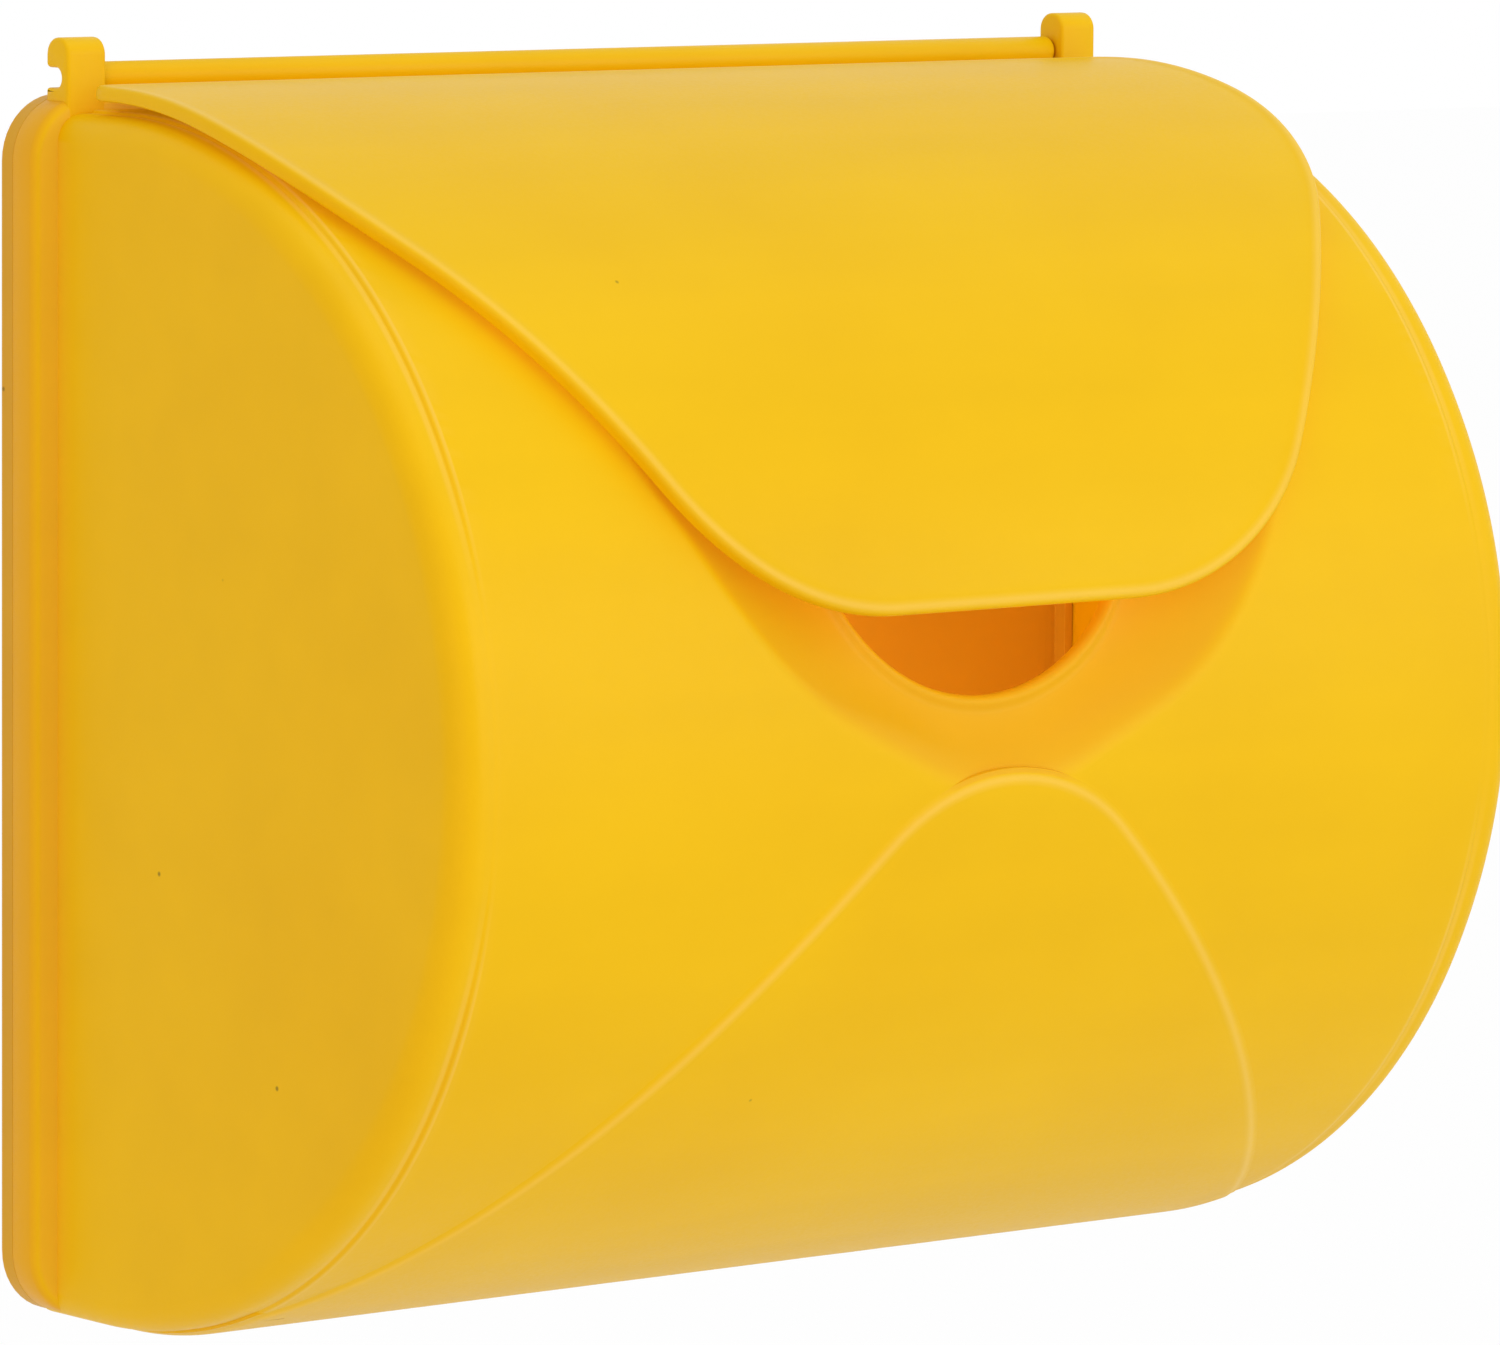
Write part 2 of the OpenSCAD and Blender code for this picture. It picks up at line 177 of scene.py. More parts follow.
def tube(loops, facing=1):
    # a surface through closed loops, and the two caps that end it
    return surface(np.stack([closed(loop) for loop in loops])), [loops[0][::-facing], loops[-1][::facing]]


def addObject(name, data):
    # a new object at the origin
    thing = bpy.data.objects.new(name, data)
    bpy.context.scene.collection.objects.link(thing)
    return thing


def shadeSmooth(mesh):
    # smooth faces, with the steep edges left sharp
    mesh.polygons.foreach_set("use_smooth", np.ones(len(mesh.polygons), bool))
    mesh.set_sharp_from_angle(angle=math.radians(meshing["sharpAngle"]))


def makePiece(name, surfaces, caps=()):
    # quads between the neighbours of each grid of points, plus flat caps; equal points are then welded
    points, faces, paintedLightValues, start = [], [], [], 0
    for grid, paintedLight, keep in surfaces:
        rows, cols = grid.shape[:2]
        corner = start + np.arange(rows - 1)[:, None] * cols + np.arange(cols - 1)
        quads = np.stack([corner, corner + 1, corner + cols + 1, corner + cols], -1)
        faces += quads[keep].tolist()
        points.append(grid.reshape(-1, 3))
        paintedLightValues.append(paintedLight.ravel())
        start += rows * cols
    for cap in caps:
        faces.append(list(range(start, start + len(cap))))
        points.append(cap)
        paintedLightValues.append(np.zeros(len(cap)))
        start += len(cap)
    mesh = bpy.data.meshes.new(name)
    mesh.from_pydata((np.concatenate(points) / 1000).tolist(), [], faces)
    # each point's painted light: below 0 painted shade, above 0 painted highlight
    paintedLightValues = np.concatenate(paintedLightValues).astype(np.float32)
    mesh.attributes.new("paintedLight", "FLOAT", "POINT").data.foreach_set("value", paintedLightValues)
    work = bmesh.new()
    work.from_mesh(mesh)
    bmesh.ops.remove_doubles(work, verts=work.verts, dist=meshing["weld"])
    bmesh.ops.dissolve_degenerate(work, edges=work.edges, dist=meshing["sliver"])
    loose = [v for v in work.verts if not v.link_faces]
    bmesh.ops.delete(work, geom=loose, context="VERTS")
    bmesh.ops.recalc_face_normals(work, faces=work.faces)
    work.to_mesh(mesh)
    work.free()
    shadeSmooth(mesh)
    return addObject(name, mesh)


def fit(piece, body, node, material):
    # gives a piece its material and its body, and hides the imported node it stands for
    piece.data.materials.append(material)
    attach(piece, body)
    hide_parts(node)
    print("made", piece.name, "with", len(piece.data.polygons), "faces")


def linear(code):
    # sRGB hex to linear colour
    rgb = np.array([int(code[k:k + 2], 16) for k in (1, 3, 5)]) / 255
    rgb = np.where(rgb <= 0.04045, rgb / 12.92, ((rgb + 0.055) / 1.055) ** 2.4)
    return (*[float(c) for c in rgb], 1.0)


def addNode(tree, kind, settings=None, links=None):
    # one node with its settings (node properties or input values) and its links (input from an output)
    node = tree.nodes.new(kind)
    for key, value in (settings or {}).items():
        if isinstance(key, str) and hasattr(node, key):
            setattr(node, key, value)
        else:
            node.inputs[key].default_value = value
    for key, source in (links or {}).items():
        tree.links.new(source, node.inputs[key])
    return node


def blankMaterial(name):
    # a new material with an empty node tree
    material = bpy.data.materials.new(name)
    material.use_nodes = True
    material.node_tree.nodes.clear()
    return material, material.node_tree


# Injection-moulded polypropylene, coloured through and run into a finely sparked mould.
# To the eye: a soft satin sheen that grows at grazing angles, a grain that breaks up the gloss,
# cloudy differences of a percent or two where the melt flowed, and a few dark specks of burnt resin.
plasticLook = {
    "cloudSize": 70.0,           # mm
    "streakSize": 16.0,          # mm across the flow lines
    "streakStretch": 8.0,        # they are this many times as long sideways
    "streakShare": 0.015,        # how much they darken and brighten
    "grainSize": 0.9,            # mm; a sparked mould gives about 0.15, drawn coarser so that it shows
    "grainDepth": 0.012,         # mm
    "grainStrength": 0.6,
    "speckSpacing": 24.0,        # mm
    "speckSize": 0.42,           # mm radius
    "speckFade": (0.6, 1.4),     # from and to this share of the radius
    "speckShare": 0.75,
    "speckColour": "#7d6414",
    "roughness": 0.43,
    "roughSpread": (0.04, 0.05),   # less and more in the grain
    "ior": 1.49,
    "gleam": 0.13,               # the sparked grain scatters most of the mirror gleam
    "paintedHighlight": 0.2,               # share of the highlight paint where painted highlights and painted light lie
    # highlight paint: a pale colour painted where highlights fall
    "highlightPaint": "#ffe094",
    # shade paint: a deeper orange painted where shade falls
    "shadePaint": "#e49a1e",
}
noiseRange = {"From Min": 0.3, "From Max": 0.7}   # most of a noise pattern's values lie between these


def mouldedPolypropylene(name, colour, deepColour):
    # clouds mix the two colours, streaks and specks lie on them, then painted shade deepens and painted
    # highlights pale the result
    look = plasticLook
    material, tree = blankMaterial(name)
    place = addNode(tree, "ShaderNodeTexCoord").outputs["Object"]
    clouds = addNode(tree, "ShaderNodeTexNoise",
                     {"Scale": 1000 / look["cloudSize"], "Detail": 3.0, "Roughness": 0.55}, {"Vector": place})
    stretched = addNode(tree, "ShaderNodeMapping", {"Scale": (1 / look["streakStretch"], 1.0, 1.0)},
                        {"Vector": place})
    streaks = addNode(tree, "ShaderNodeTexNoise",
                      {"Scale": 1000 / look["streakSize"], "Detail": 2.0}, {"Vector": stretched.outputs[0]})
    grain = addNode(tree, "ShaderNodeTexNoise",
                    {"Scale": 1000 / look["grainSize"], "Detail": 2.0, "Roughness": 0.6}, {"Vector": place})
    specks = addNode(tree, "ShaderNodeTexVoronoi",
                     {"Scale": 1000 / look["speckSpacing"], "Randomness": 1.0}, {"Vector": place})
    tone = addNode(tree, "ShaderNodeMapRange", noiseRange, {"Value": clouds.outputs[0]})
    tint = addNode(tree, "ShaderNodeMix", {"data_type": "RGBA", 6: linear(deepColour), 7: linear(colour)},
                   {0: tone.outputs[0]})
    flow = addNode(tree, "ShaderNodeMapRange",
                   {**noiseRange, "To Min": 1 - look["streakShare"], "To Max": 1 + look["streakShare"]},
                   {"Value": streaks.outputs[0]})
    flowed = addNode(tree, "ShaderNodeMix", {"data_type": "RGBA", "blend_type": "MULTIPLY", 0: 1.0},
                     {6: tint.outputs[2], 7: flow.outputs[0]})
    speckFrom, speckTo = [share * look["speckSize"] / look["speckSpacing"] for share in look["speckFade"]]
    spot = addNode(tree, "ShaderNodeMapRange",
                   {"From Min": speckFrom, "From Max": speckTo, "To Min": look["speckShare"], "To Max": 0.0},
                   {"Value": specks.outputs["Distance"]})
    spotted = addNode(tree, "ShaderNodeMix", {"data_type": "RGBA", 7: linear(look["speckColour"])},
                      {0: spot.outputs[0], 6: flowed.outputs[2]})
    # painted light from the mesh: -1 mixes in the shade paint, 1 mixes in the highlight paint
    paintedLight = addNode(tree, "ShaderNodeAttribute", {"attribute_name": "paintedLight"}).outputs["Fac"]
    shadeMix = addNode(tree, "ShaderNodeMapRange", {"From Max": -1.0}, {"Value": paintedLight})
    paintedHighlight = addNode(tree, "ShaderNodeMapRange", {"To Max": look["paintedHighlight"]}, {"Value": paintedLight})
    shadePainted = addNode(tree, "ShaderNodeMix", {"data_type": "RGBA", 7: linear(look["shadePaint"])},
                       {0: shadeMix.outputs[0], 6: spotted.outputs[2]})
    finished = addNode(tree, "ShaderNodeMix", {"data_type": "RGBA", 7: linear(look["highlightPaint"])},
                       {0: paintedHighlight.outputs[0], 6: shadePainted.outputs[2]})
    less, more = look["roughSpread"]
    gloss = addNode(tree, "ShaderNodeMapRange",
                    {**noiseRange, "To Min": look["roughness"] - less, "To Max": look["roughness"] + more},
                    {"Value": grain.outputs[0]})
    bump = addNode(tree, "ShaderNodeBump",
                   {"Strength": look["grainStrength"], "Distance": look["grainDepth"] / 1000},
                   {"Height": grain.outputs[0]})
    skin = addNode(tree, "ShaderNodeBsdfPrincipled",
                   {"IOR": look["ior"], "Specular IOR Level": look["gleam"]},
                   {"Base Color": finished.outputs[2], "Roughness": gloss.outputs[0],
                    "Normal": bump.outputs[0]})
    addNode(tree, "ShaderNodeOutputMaterial", links={"Surface": skin.outputs[0]})
    return material


# Bright zinc over rolled steel wire. To the eye: a cool grey metal with a cloudy, slightly dull gleam.
zincLook = {
    "cloudSize": 1.6,            # mm
    "colours": ("#a9aeb4", "#c9ccd0"),
    "roughness": (0.28, 0.45),
}


def zincPlatedSteel(name):
    # one cloud pattern mixes the two greys and the two gloss levels
    material, tree = blankMaterial(name)
    place = addNode(tree, "ShaderNodeTexCoord").outputs["Object"]
    clouds = addNode(tree, "ShaderNodeTexNoise", {"Scale": 1000 / zincLook["cloudSize"], "Detail": 3.0},
                     {"Vector": place})
    dark, light = [linear(code) for code in zincLook["colours"]]
    tint = addNode(tree, "ShaderNodeMix", {"data_type": "RGBA", 6: dark, 7: light}, {0: clouds.outputs[0]})
    low, high = zincLook["roughness"]
    gloss = addNode(tree, "ShaderNodeMapRange", {"To Min": low, "To Max": high}, {"Value": clouds.outputs[0]})
    skin = addNode(tree, "ShaderNodeBsdfPrincipled", {"Metallic": 1.0},
                   {"Base Color": tint.outputs[2], "Roughness": gloss.outputs[0]})
    addNode(tree, "ShaderNodeOutputMaterial", links={"Surface": skin.outputs[0]})
    return material


shellPlastic = mouldedPolypropylene("yellow injection-moulded polypropylene, shell", "#f0c202", "#ecbc02")
lidPlastic = mouldedPolypropylene("yellow injection-moulded polypropylene, lid", "#efc102", "#ebbb02")
# the panel's yellow is darker than the shell's: painted shade for its edge, which shows in shade at the left
# end
shadedPanelPlastic = mouldedPolypropylene("yellow injection-moulded polypropylene, panel", "#dba728", "#d6a028")
screwZinc = zincPlatedSteel("zinc-plated steel")
print("mixed 4 materials")

# The shell's skin: band across the front, crease, strip, rounded edge and flat end face.
shell = {
    # (x, drop below the band) down the crease
    "crease": [(117.35, 0.01), (117.7, 0.05), (118.0, 0.14), (118.22, 0.28), (118.36, 0.44), (118.46, 0.56),
               (118.62, 0.64), (118.9, 0.63)],
    "paintedHighlight": [(117.5, 0.35), (119.2, 0.5)],   # x and width of the painted highlight on each side of the crease
    # how far the crease dies out, the middle and half length of that stretch, and over what it comes back
    "calmShare": 0.95, "calmArc": 7.0, "calmHalf": 20.0, "calmFade": 40.0,
    "cornerLight": 0.3, "cornerLightY": -16.5, "cornerLightFade": 6.0,   # painted light on the end faces beside the flange, against the shade of that corner
    "endRings": [102.6, 98, 86, 70, 50, 25, 0],     # radii of the rings across the end faces
    "innerX": 117.2,                                # first inner row beside the window
    "acrossStep": 1.5, "rearStep": 3.0, "lowStep": 2.2, "windowStep": 1.5, "highStep": 2.0,
    "roundPoints": 13, "stripPoints": 4,
}
# The dished recess under the lid and the mail hole in it, in flat (x, arc) coordinates.
dish = {
    "middle": (0.0, 45.0),
    "outline": [(0, -10.4), (8, -10.0), (14, -8.6), (19.5, -6.3), (25, -3.5), (30.8, -0.6), (37.5, 2.8),
                (44.2, 6.8), (48.8, 10.5), (53.2, 14.8), (57.3, 19.5), (61.2, 24.5), (65, 29.8), (68.4, 35.6),
                (71.6, 41.3), (74.7, 46.6), (77.5, 52), (80.2, 60), (81.6, 70), (82, 82), (81, 96), (77, 110),
                (68, 122), (52, 131), (30, 136), (0, 137)],   # it runs on under the tip of the envelope flap
    "outlineBlur": 2.2,       # degrees
    "depth": 7.5,             # at the mail hole
    "bowl": 0.6,              # 0 for an even slope
    "softEdge": (2.6, 8.0),   # width of the rounded edge along the sides and under the hole
    "under": (0.45, 0.75),    # radians each side of straight down, and those over which the edge then narrows
    "paintedShadeEdge": 4.5,          # over this width the painted shade deepens the colour
    "paintedShade": 0.4,              # how far the painted shade, for the lid's shadow in the recess, deepens the colour
    "hole": [(36, 8, 35.9), (36, 44, 0), (57, 72, 6), (57, 102, 15),
             (-57, 102, 15), (-57, 72, 6), (-36, 44, 0), (-36, 8, 35.9)],
    "holePoints": 900,
    "holeBlur": 0.8,          # degrees
    # (outwards from the hole's edge, above the dish's floor): a low bead in front, and the lip's back
    "lip": [(0.0, -1.25), (0.22, -0.45), (0.6, 0.12), (1.1, 0.42), (1.7, 0.46), (2.2, 0.3), (2.7, 0.1),
            (3.3, 0.0)],
    "lipBack": [(0.05, -1.9), (0.35, -2.35), (0.9, -2.5)],
    "rim": [-4.8, -4.0, -3.2, -2.5, -1.9, -1.3, -0.8, -0.3, 0.3],   # rings across the soft edge
    "slopeRings": 13, "flatRings": 12,
    "windowX": 117.0, "windowArc": (-20.0, 150.0),   # the part of the skin that is made as rings
}


def polarRadius(outline, angles, blur):
    # distance from the dish's middle to an outline at the given angles: a mean of the nearby distances,
    # weighted by a bell curve that is blur degrees wide
    step, reachEachWay = 0.25, 6.0   # degrees
    away = np.array(outline, float) - np.array(dish["middle"])
    turn, reach = np.arctan2(away[:, 1], away[:, 0]), np.hypot(away[:, 0], away[:, 1])
    order = np.argsort(turn)
    fine = np.linspace(-math.pi, math.pi, round(360 / step), endpoint=False)
    reach = np.interp(fine, turn[order], reach[order], period=fullTurn)
    last = round(reachEachWay / step)
    shifts = np.arange(-last, last + 1)
    weights = np.exp(-(shifts * step / blur) ** 2)
    reach = sum(np.roll(reach, k) * w for k, w in zip(shifts, weights)) / weights.sum()
    return np.interp(angles, fine, reach, period=fullTurn)


def shellProfile():
    # (x, r) of the skin from side to side, outside and one wall thickness in, the painted highlight of each
    # outer point, and the lift that would fill the crease
    half, endRound, wall = form["halfWidth"], form["endRound"], form["wall"]
    radius, base = form["radius"], form["radius"] - form["step"]
    band = span(0, dish["windowX"], shell["acrossStep"])
    creaseX, drop = np.array(shell["crease"]).T
    creaseR = radius - drop
    strip = np.linspace(creaseX[-1], half - endRound, shell["stripPoints"])[1:]
    turn = np.linspace(0, quarterTurn, shell["roundPoints"])[1:]
    endR = np.array(shell["endRings"])
    roundX, roundR = half - endRound + endRound * np.sin(turn), base - endRound * (1 - np.cos(turn))
    outX = np.concatenate([band, creaseX, strip, roundX, np.full(len(endR), half)])
    outR = np.concatenate([np.full(len(band), radius), creaseR, np.full(len(strip), base), roundR, endR])
    inner = endRound - wall
    inX = np.concatenate([band, np.linspace(shell["innerX"], half - endRound, len(creaseX) + len(strip)),
                          half - endRound + inner * np.sin(turn), np.full(len(endR), half - wall)])
    inR = np.concatenate([np.full(len(band) + len(creaseX) + len(strip), radius - wall),
                          radius - endRound + inner * np.cos(turn), endR])
    # painted highlight: a pale line on each side of the crease
    paintedHighlight = sum(np.exp(-((outX - x) / width) ** 2) for x, width in shell["paintedHighlight"])
    lift = np.concatenate([0 * band, radius - creaseR, radius - base + 0 * strip,
                           (radius - base) * np.cos(turn), 0 * endR])
    return bothSides(outX, -1), bothSides(inX, -1), *[bothSides(run) for run in (outR, inR, paintedHighlight, lift)]


def dishPatch(edge):
    # rings about the dish's middle, along rays to the window's edge: from that edge over the soft edge and
    # down the bowl to the mail hole, over the hole's lip, and back behind it one wall thickness in
    radius, wall, middle = form["radius"], form["wall"], np.array(dish["middle"])
    away = edge - middle
    angle, edgeReach = np.arctan2(away[:, 1], away[:, 0]), np.hypot(away[:, 0], away[:, 1])
    ray = away / edgeReach[:, None]
    rightHalf = np.array(dish["outline"], float)
    outline = np.concatenate([rightHalf, rightHalf[-2:0:-1] * (-1, 1)])
    hole = resample(closed(roundedPath(dish["hole"])), dish["holePoints"])
    dishReach = polarRadius(outline, angle, dish["outlineBlur"])
    holeReach = polarRadius(hole, angle, dish["holeBlur"])
    lipOut, lipUp = np.array(dish["lip"]).T[..., None]
    backOut, backUp = np.array(dish["lipBack"]).T[..., None]
    rim = np.array(dish["rim"])[:, None]
    slope = np.linspace(0, 1, dish["slopeRings"] + 2)[1:-1, None]
    flat = np.linspace(0, 1, dish["flatRings"] + 1)[1:, None]
    lipEnd = holeReach + lipOut[-1]
    slopeRings = lipEnd + slope * (dishReach + rim[0] - lipEnd)
    rimRings = dishReach + rim
    flatRings = dishReach + rim[-1] + flat * (edgeReach - dishReach - rim[-1])
    outRings = np.concatenate([holeReach + lipOut, slopeRings, rimRings, flatRings])
    backRings = np.concatenate([holeReach + backOut, lipEnd[None], slopeRings[::2], rimRings[::2],
                                flatRings[1::2]])
    outUp, inUp = np.zeros((len(outRings), 1)), np.full((len(backRings), 1), -wall)
    outUp[:len(lipUp)], inUp[:len(backUp)] = lipUp, backUp

    fromDown, fade = dish["under"]
    sideShare = ease((np.abs(angle + quarterTurn) - fromDown) / fade)   # 0 under the hole, 1 along the sides
    sideSoft, lowSoft = dish["softEdge"]
    soft = lowSoft + (sideSoft - lowSoft) * sideShare

    def onRays(reach, up):
        # the depth is a bowl that is steeper at its rim than at the hole, and starts as a parabola
        # across the soft edge
        inside = np.maximum(dishReach - reach, 0)
        fall = np.where(inside < soft, inside ** 2 / (2 * soft), inside - soft / 2)
        share = np.minimum(fall / (dishReach - lipEnd - soft / 2), 1)
        depth = dish["depth"] * (dish["bowl"] * share * (2 - share) + (1 - dish["bowl"]) * share)
        return wrap(middle[0] + ray[:, 0] * reach, middle[1] + ray[:, 1] * reach, radius - depth + up)

    # painted shade in the recess where the lid's shadow falls, fading in from the dish's edge
    paintedShade = -dish["paintedShade"] * ease((dishReach - outRings) / dish["paintedShadeEdge"])
    patch = np.concatenate([onRays(outRings, outUp)[::-1], onRays(backRings, inUp)])
    return surface(patch, np.concatenate([paintedShade[::-1], np.zeros(backRings.shape)]))


def shellSkin():
    # the profile (x, r) carried round the front, outside and inside; the dish's rings fill a window in both
    outX, inX, outR, inR, paintedHighlight, lift = shellProfile()
    windowX, (arcLow, arcHigh) = dish["windowX"], dish["windowArc"]
    end = arcAtY(form["rearY"])
    rows = chain(span(-end, -quarterArc, shell["rearStep"]), span(-quarterArc, arcLow, shell["lowStep"]),
                 span(arcLow, arcHigh, shell["windowStep"]), span(arcHigh, quarterArc, shell["highStep"]),
                 span(quarterArc, end, shell["rearStep"]))
    away = np.abs(rows - shell["calmArc"]) - shell["calmHalf"]
    calm = shell["calmShare"] * (1 - ease(away / shell["calmFade"]))[:, None]
    outer = wrap(outX, rows[:, None], outR + lift * calm)
    inner = wrap(inX, rows[:, None], inR)
    # painted light on the end faces, growing towards the flange where the corner lies in shade
    nearFlange = ease((np.abs(rows) - arcAtY(shell["cornerLightY"])) / shell["cornerLightFade"])[:, None]
    cornerLight = shell["cornerLight"] * nearFlange * (np.abs(outX) > form["halfWidth"] - tiny)
    midX, midArc = (outX[:-1] + outX[1:]) / 2, (rows[:-1] + rows[1:]) / 2
    outside = (np.abs(midX) > windowX)[None] | (midArc < arcLow)[:, None] | (midArc > arcHigh)[:, None]
    xs = outX[np.abs(outX) <= windowX + tiny]
    arcs = rows[(rows >= arcLow - tiny) & (rows <= arcHigh + tiny)]
    low, right, high, left = [np.stack(np.broadcast_arrays(x, arc), -1) for x, arc in (
        (xs, arcLow), (windowX, arcs), (xs[::-1], arcHigh), (-windowX, arcs[::-1]))]
    edge = np.concatenate([low[:-1], right[:-1], high[:-1], left])
    rims = [surface(np.stack([outer[k], inner[k]])) for k in (0, -1)]   # rear edges of the walls
    return makePiece("frontShellSkin", [surface(outer, paintedHighlight * (1 - calm) + cornerLight, outside),
                                        surface(inner, keep=outside), dishPatch(edge), *rims])


fit(shellSkin(), "case", "front_shell", shellPlastic)

# The lower flap of the envelope: a thin raised layer with a rounded edge.
flap = {
    "tipArc": -6.4,
    "tipRadius": 41.0,
    "edgeAngle": 46.5,      # degrees from upright, beside the tip
    "edgeRadius": 470.0,    # of the gently bowed edges
    "halfWidth": 117.6,
    "endY": -8.6,
    # (inset, r) from the underside round the edge to the top
    "profile": [(7.0, 109.6), (-0.4, 109.6), (-1.1, 110.1), (-1.3, 111.5), (-1.15, 111.98), (-0.7, 112.06),
                (-0.3, 112.17), (0.1, 112.33), (0.5, 112.5), (0.9, 112.62), (1.4, 112.68), (2.2, 112.7),
                (7.0, 112.7)],
    # painted highlight along the crest of the rounded edge
    "paintedLight": [0, 0, 0, 0, 0, 0, 0.1, 0.4, 0.8, 0.8, 0.4, 0, 0],
    "dishHalf": 11.0,       # half the width of the tip that lies over the dish and takes its painted shade
    "dishFade": 6.0,
    "tipPoints": 24, "edgePoints": 40, "pathPoints": 2400, "sidePoints": [121, 31, 121, 31],
}


def curvedPlate(name, loop, counts, profile, paintedLight):
    # rings (inset, r) along an outline make a plate's edge, and filled sheets close it above and below
    rings = np.stack([wrap(*closed(inset(loop, d)).T, r) for d, r in profile])
    cover = fillSheet(inset(loop, profile[0][0]), counts)
    above, below = [wrap(cover[..., 0], cover[..., 1], profile[k][1]) for k in (-1, 0)]
    return makePiece(name, [surface(rings, paintedLight), surface(above), surface(below)])


def flapPlate():
    # the outline's right half runs up the side, along a wide arc and round the tip's arc;
    # the two arcs meet on one tangent
    hw, tipR, bowR = flap["halfWidth"], flap["tipRadius"], flap["edgeRadius"]
    join = math.radians(90 - flap["edgeAngle"])
    tipCentre = np.array([0, flap["tipArc"] - tipR])
    bowCentre = tipCentre - (bowR - tipR) * np.array([math.sin(join), math.cos(join)])
    bowEnd = math.asin((hw - bowCentre[0]) / bowR)
    tip, bow = [centre + r * np.stack([np.sin(turn), np.cos(turn)], -1) for centre, r, turn in (
        (tipCentre, tipR, np.linspace(join, 0, flap["tipPoints"])),
        (bowCentre, bowR, np.linspace(bowEnd, join, flap["edgePoints"])[:-1]))]
    shoulder, low = bow[0, 1], -arcAtY(flap["endY"])
    rightSide = np.concatenate([[[hw, low]], bow, tip])
    path = np.concatenate([rightSide, (rightSide * (-1, 1))[-2::-1]])
    path = resample(closed(path), flap["pathPoints"])[:-1]
    loop = fourSides(path, [(-hw, low), (hw, low), (hw, shoulder), (-hw, shoulder)], flap["sidePoints"])
    x, arc = closed(loop).T
    overDish = ease(1 - (np.abs(x) - flap["dishHalf"]) / flap["dishFade"]) * (arc > tipCentre[1])
    ramp = np.array([d < 0 for d, r in flap["profile"]])[:, None]
    # the edge of the tip that lies over the dish gets the dish's painted shade
    paintedLight = np.array(flap["paintedLight"])[:, None] - dish["paintedShade"] * overDish * ramp
    return curvedPlate("envelopeFlap", loop, flap["sidePoints"], flap["profile"], paintedLight)


fit(flapPlate(), "case", "front_shell", shellPlastic)

# The flange round the back of the shell, with a soft front edge.
flange = {
    "halfWidth": 131.2, "top": 114.6, "bottom": -111.3, "corner": 12.0,
    "frontY": -10.5, "backY": -3.5, "frontRound": 1.8, "backRound": 0.2, "roundPoints": 7,
    "holeHalf": 124.7, "holeTop": 110.5, "holeCorner": 6.3,
    # from the hole over the front, edge and back: painted light on the ledge against the shade of its corner,
    # and painted shade on the outer edge
    "paintedLight": [0.5, 0.45, 0.2, -0.05, -0.25, -0.4, -0.5, -0.5, -0.5, -0.5, -0.5, 0, 0.5],
}


def rectangleLoop(halfWidth, bottom, top, corner, count=20):
    # counterclockwise rounded rectangle (x, z), with count points on each corner's quarter circle
    turn = np.linspace(0, quarterTurn, count)
    quarters = []
    for k, (sx, z) in enumerate([(1, bottom), (1, top), (-1, top), (-1, bottom)]):
        at = (k - 1) * quarterTurn + turn
        x0, z0 = sx * (halfWidth - corner), z + (corner if z == bottom else -corner)
        quarters.append(np.stack([x0 + corner * np.cos(at), z0 + corner * np.sin(at)], -1))
    return np.concatenate(quarters)


def raised(loop, y):
    # stands a flat loop (x, z) at one y
    return np.stack([loop[..., 0], np.broadcast_to(y, loop.shape[:-1]), loop[..., 1]], -1)


def flangeRing():
    # the section (inset from the outline, y) carried round the outline, and a plain hole inside the wall
    f = flange
    turn = np.linspace(0, quarterTurn, f["roundPoints"])
    front, back = f["frontRound"], f["backRound"]
    section = [(front * (1 - math.sin(t)), f["frontY"] + front * (1 - math.cos(t))) for t in turn]
    section += [(back * (1 - math.cos(t)), f["backY"] - back * (1 - math.sin(t))) for t in turn[::3]]
    hole = rectangleLoop(f["holeHalf"], -f["holeTop"], f["holeTop"], f["holeCorner"])
    loops = [raised(hole, f["frontY"])]
    for d, y in section:
        outline = rectangleLoop(f["halfWidth"] - d, f["bottom"] + d, f["top"] - d, f["corner"] - d)
        loops.append(raised(outline, y))
    loops += [raised(hole, f["backY"]), raised(hole, f["frontY"])]
    ring = np.stack([closed(loop) for loop in loops])
    return makePiece("shellFlange", [surface(ring, np.array(f["paintedLight"])[:, None])])


fit(flangeRing(), "case", "front_shell", shellPlastic)

# Two hooks on the flange: each has a round top and a notch that is open to the back for the lid's pin.
hook = {
    "innerX": 115.2, "width": 8.6, "bevel": 0.7, "bevelPoints": 5,
    "frontY": -10.53, "backY": -3.5, "footZ": 110.7, "top": 125.2, "topRound": 3.2,
    "notchY": -6.25, "notchZ": 117.8, "notchR": 1.85, "lipRound": 0.9, "shelfRound": 0.5,
    "notchFlat": 0.01,      # short of a full half circle, so that the notch's two roundings don't touch
    "arcStep": 8,           # degrees
}


